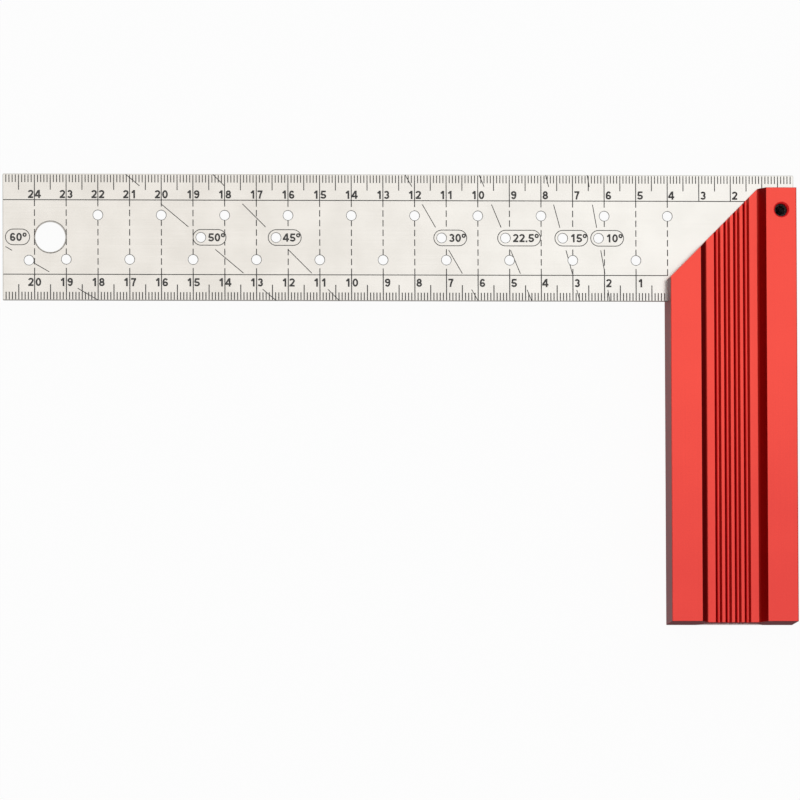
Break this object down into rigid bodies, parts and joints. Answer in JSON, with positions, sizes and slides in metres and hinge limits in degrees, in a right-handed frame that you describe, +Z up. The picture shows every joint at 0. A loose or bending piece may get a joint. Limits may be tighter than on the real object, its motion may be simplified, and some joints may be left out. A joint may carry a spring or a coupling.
{
  "type": "carpenter square",
  "caption": "Fixed-blade carpenter's square: a graduated steel blade with marking holes, held square in a mitred, grooved aluminium stock by a set screw.",
  "frame": {"origin": "the inside corner: on the guide face (x = 0), at the blade's inner edge (y = 0), on the surface that the stock lies on (z = 0)", "axes": "+X from the guide face towards the stock's outer face, along the blade; +Y from the blade's inner edge to its outer edge, along the stock; +Z up, out of the face with the scales"},
  "size_m": [0.25, 0.1415, 0.02],
  "materials": {
    "anodised_aluminium": "satin, anodised red all over",
    "stainless_steel": "fine satin, with dark etched scales",
    "black_steel": "black oxide"
  },
  "bodies": {
    "square": {"stock": "anodised_aluminium", "blade": "stainless_steel"},
    "screw": {"clamp_screw": "black_steel"}
  },
  "joints": [
    {"name": "clamp_screw_turn", "type": "hinge", "parent": "square", "child": "screw", "pos_m": [0.0352, 0.0285, 0.013], "axis": [0, 0, 1], "range_deg": [0, 270]}
  ]
}
